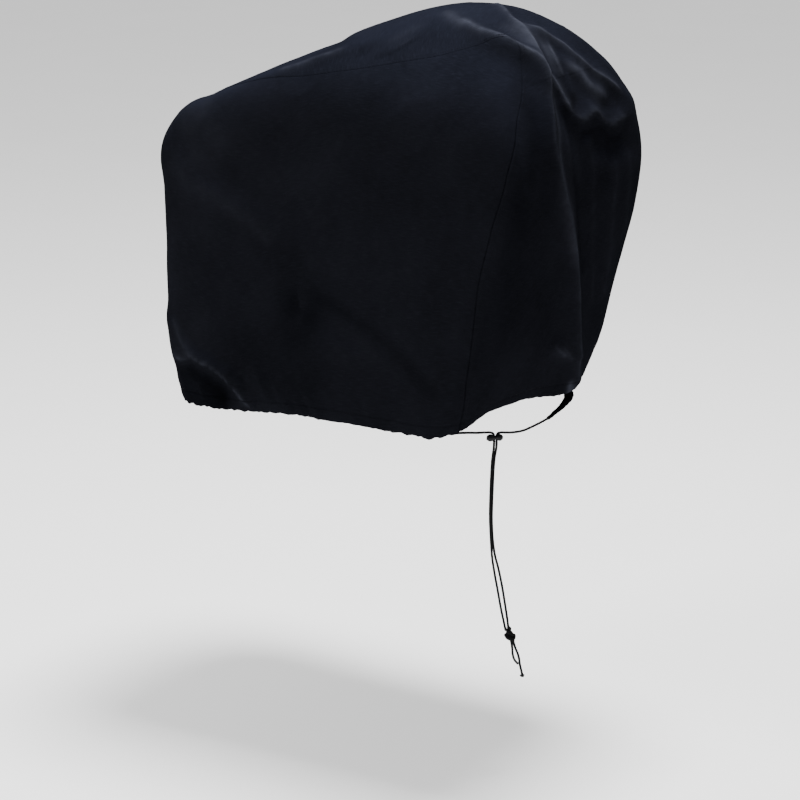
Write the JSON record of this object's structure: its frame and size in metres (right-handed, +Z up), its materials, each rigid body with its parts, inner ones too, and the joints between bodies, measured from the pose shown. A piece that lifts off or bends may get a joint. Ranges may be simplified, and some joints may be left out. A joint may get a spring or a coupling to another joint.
{
  "type": "outboard motor cover",
  "caption": "Fitted dark cloth cover, hollow and open below, with a drawn-in hem, a cord lock and knotted cord ends hanging under its aft edge.",
  "frame": {"origin": "the point under the roof, inside the cloth, where the cover rests on what it is pulled over", "axes": "+X aft, +Y to starboard, +Z up, as the cover hangs"},
  "size_m": [0.7511, 0.4499, 1.0865],
  "materials": {
    "shell_cloth": "close plain weave with a water-resistant coat, matt with a soft sheen on the folds",
    "casing_cloth": "the same cloth, gathered on the cord",
    "drawcord": "round braid, matt",
    "cord_lock": "moulded, satin"
  },
  "bodies": {
    "root": {"side_port": "shell_cloth", "side_starboard": "shell_cloth", "bow_and_roof": "shell_cloth", "aft_panel": "shell_cloth", "drawcord_port": "drawcord", "drawcord_starboard": "drawcord", "casing_end": "casing_cloth", "cord_lock": "cord_lock", "cord_knot": "drawcord", "cord_end_short": "drawcord", "cord_end_long": "drawcord", "cord_end_knot": "drawcord"}
  },
  "joints": []
}
